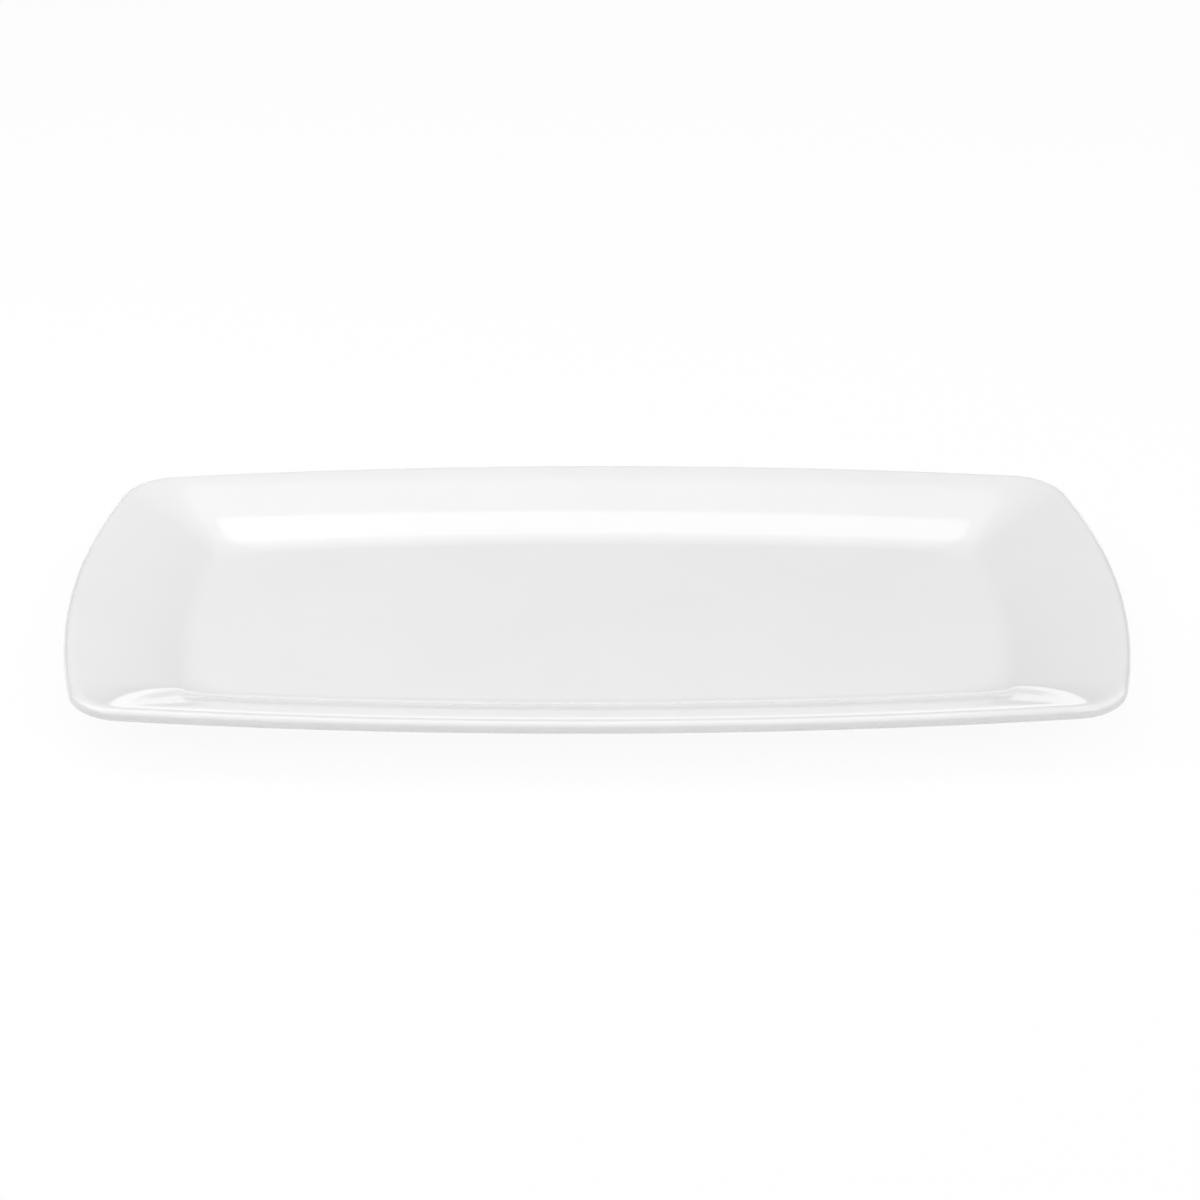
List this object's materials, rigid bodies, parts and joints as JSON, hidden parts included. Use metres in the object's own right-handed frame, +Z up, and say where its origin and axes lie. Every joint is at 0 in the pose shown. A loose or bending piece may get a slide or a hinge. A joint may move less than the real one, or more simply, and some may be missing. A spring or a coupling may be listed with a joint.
{
  "type": "serving platter",
  "caption": "Oblong white china serving platter with bowed sides, rounded corners, a flared flank round a flat well, a rounded lip and a low foot ring.",
  "frame": {"origin": "middle of the foot ring's resting face, under the centre of the platter", "axes": "+X along the platter's length, +Y across it, +Z up, out of the well"},
  "size_m": [0.36, 0.191, 0.0212],
  "materials": {
    "glazed_china": "glossy white glaze"
  },
  "bodies": {
    "root": {"platter": "glazed_china"}
  },
  "joints": []
}
